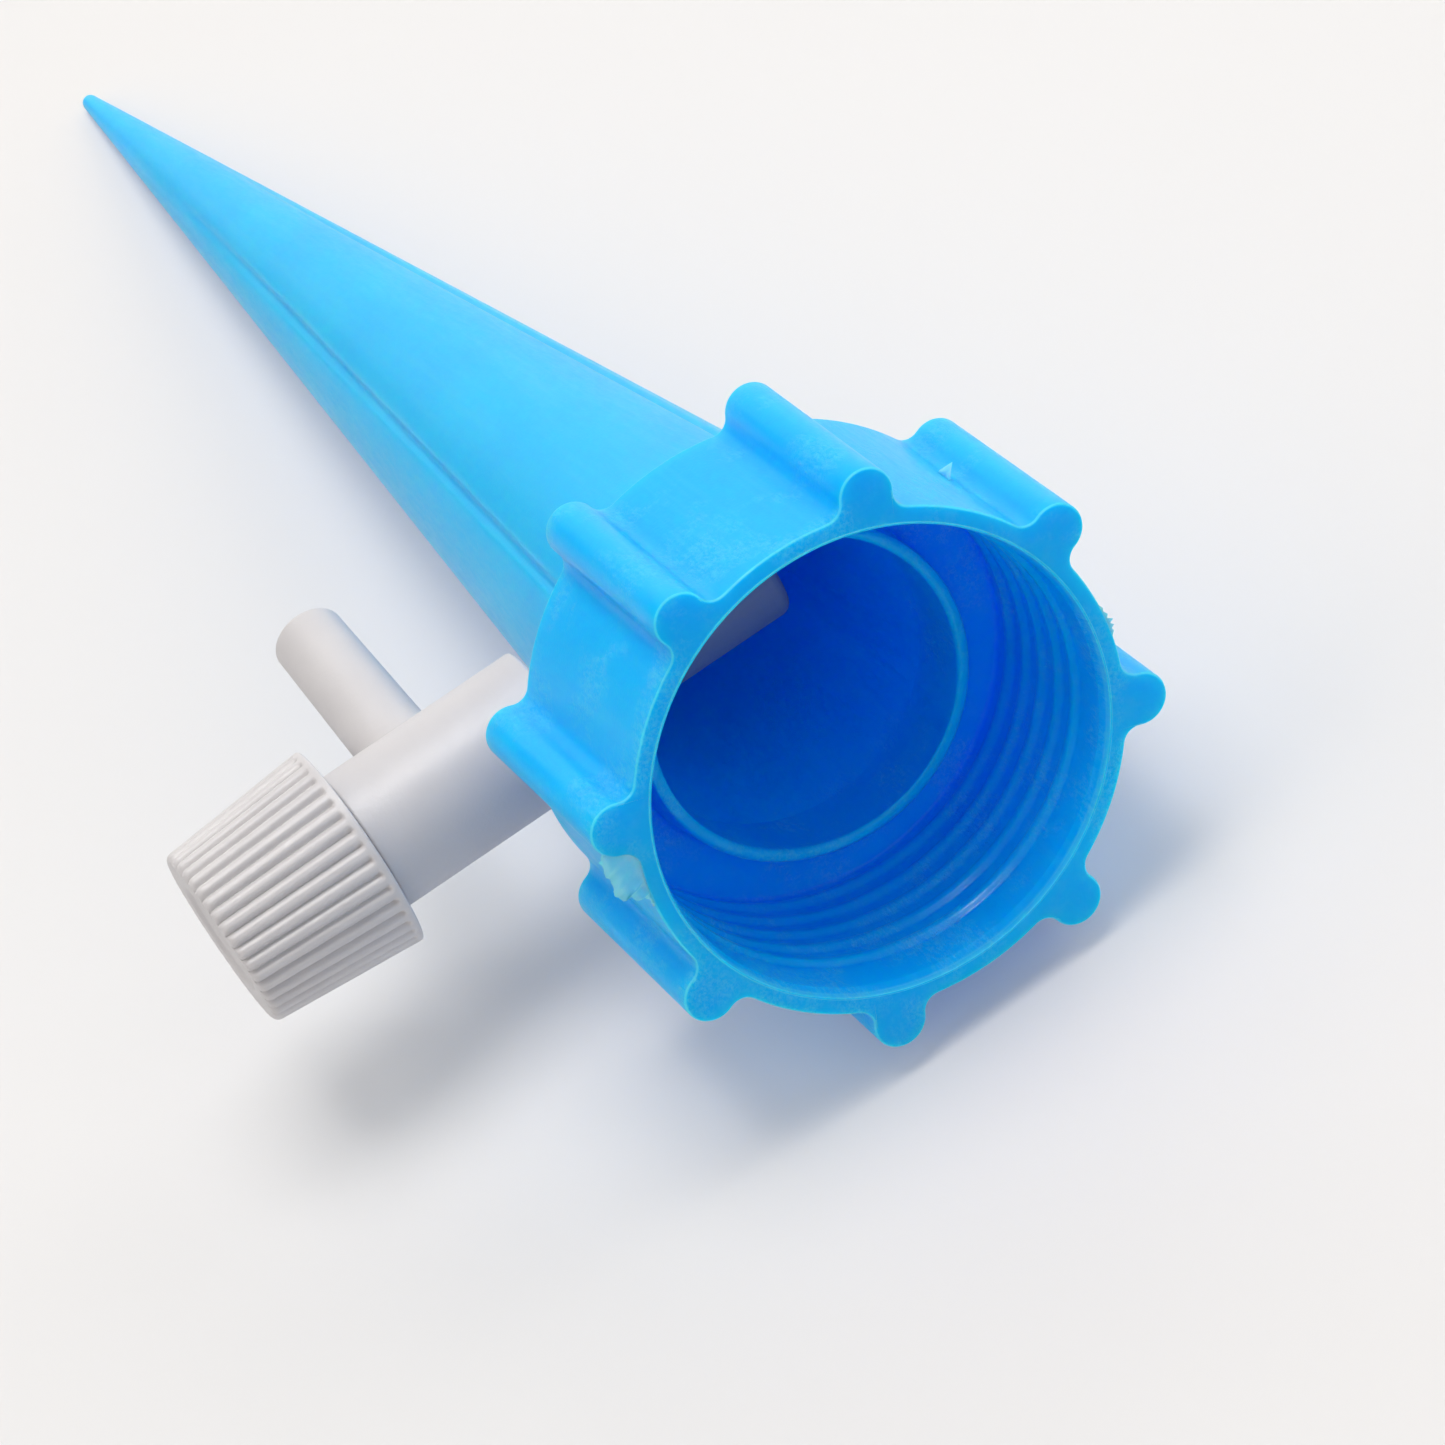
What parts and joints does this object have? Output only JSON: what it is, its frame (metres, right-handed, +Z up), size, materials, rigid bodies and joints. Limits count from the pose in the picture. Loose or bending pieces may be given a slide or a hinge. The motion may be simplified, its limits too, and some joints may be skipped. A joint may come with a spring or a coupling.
{
  "type": "self-watering plant spike",
  "caption": "Hollow tapered watering spike with a ribbed threaded bottle-neck socket and a side drip valve set by a screw-down needle knob.",
  "frame": {"origin": "under the middle of the part's bounds, on the level of the socket's lowest ribs; the centre of the socket's rim face is at (0.0700, 0.0089, 0.0164)", "axes": "+X along the spike's axis, out of the socket's mouth; -Y along the valve's axis, out to the knob; +Z up as the part lies"},
  "size_m": [0.14, 0.0506, 0.0328],
  "materials": {
    "spike_plastic": "satin moulded polyethylene, slightly translucent sky blue",
    "valve_plastic": "fine matt moulded plastic, light warm grey",
    "needle_plastic": "natural white moulded acetal",
    "seal_rubber": "black nitrile rubber",
    "knob_plastic": "fine matt moulded plastic, light warm grey"
  },
  "bodies": {
    "spike": {"spike_body": "spike_plastic"},
    "valve": {"valve_body": "valve_plastic"},
    "needle": {"valve_needle": "needle_plastic", "stem_o_ring": "seal_rubber"},
    "knob": {"control_knob": "knob_plastic"}
  },
  "joints": [
    {"name": "valve_swivel", "type": "hinge", "parent": "spike", "child": "valve", "pos_m": [0.0451, 0.00891, 0.01638], "axis": [0, 1, 0], "continuous": true},
    {"name": "needle_slide", "type": "slide", "parent": "valve", "child": "needle", "axis": [0, -1, 0], "range_m": [0, 0.003]},
    {"name": "knob_turn", "type": "hinge", "parent": "needle", "child": "knob", "pos_m": [0.0451, 0.00891, 0.01638], "axis": [0, -1, 0], "range_deg": [0, 1080]}
  ],
  "couplings": [
    {"joint": "knob_turn", "follows": "needle_slide", "rad_per_m": 6283.2}
  ]
}
